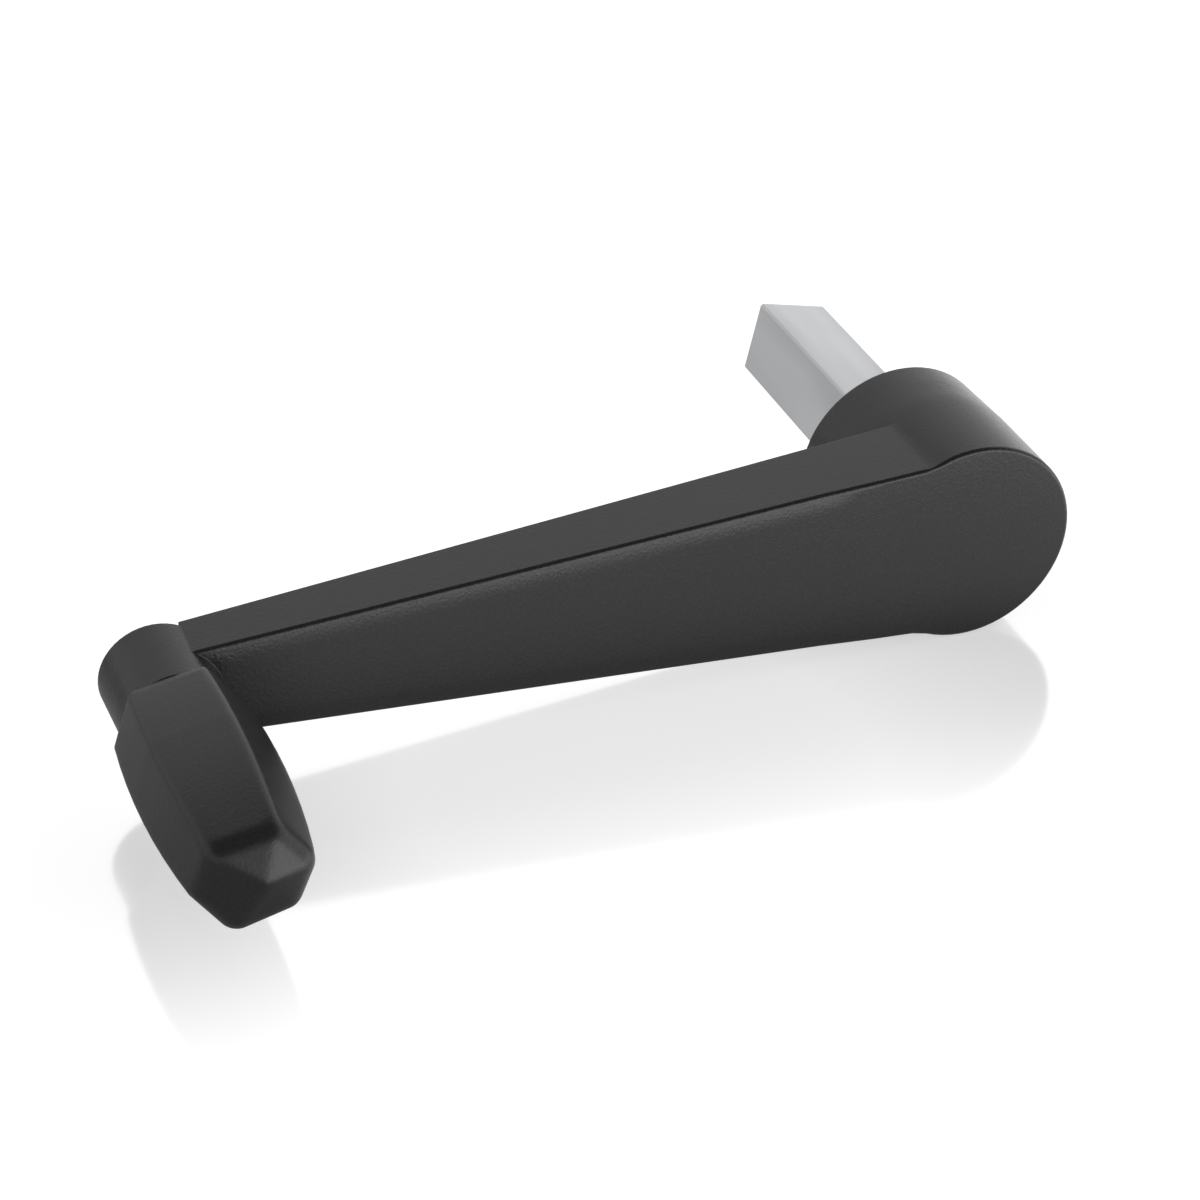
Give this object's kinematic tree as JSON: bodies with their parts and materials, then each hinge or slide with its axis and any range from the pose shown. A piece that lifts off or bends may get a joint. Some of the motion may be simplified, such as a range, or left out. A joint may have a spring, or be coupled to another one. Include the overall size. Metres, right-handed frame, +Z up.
{
  "type": "crank_handle",
  "caption": "Crank handle with a moulded arm, an offset hub on a square steel drive bar, and a faceted grip that turns freely on its spindle",
  "frame": {"origin": "On the crank axis, in the plane of the hub's rear shoulder, where the crank bears against the machine", "axes": "Y is the crank axis: +Y points along the square bar into the machine and -Y towards the grip; the arm points to -X; Z is up"},
  "size_m": [0.1515, 0.1159, 0.0328],
  "materials": {
    "arm_plastic": "near-black glass-filled nylon with a fine spark-eroded grain",
    "grip_plastic": "near-black plastic with a fine spark-eroded grain",
    "bar_steel": "bright cold-drawn steel bar, faint lines along its length",
    "insert_brass": "turned and knurled brass",
    "spindle_steel": "turned steel",
    "ring_steel": "drawn spring wire"
  },
  "bodies": {
    "crank": {"crank_arm": "arm_plastic", "drive_bar": "bar_steel", "boss_insert": "insert_brass", "grip_spindle": "spindle_steel", "retaining_ring": "ring_steel"},
    "grip_body": {"grip": "grip_plastic"}
  },
  "joints": [
    {"name": "grip_spin", "type": "hinge", "parent": "crank", "child": "grip_body", "pos_m": [-0.125, -0.05, 0], "axis": [0, 1, 0], "continuous": true}
  ]
}
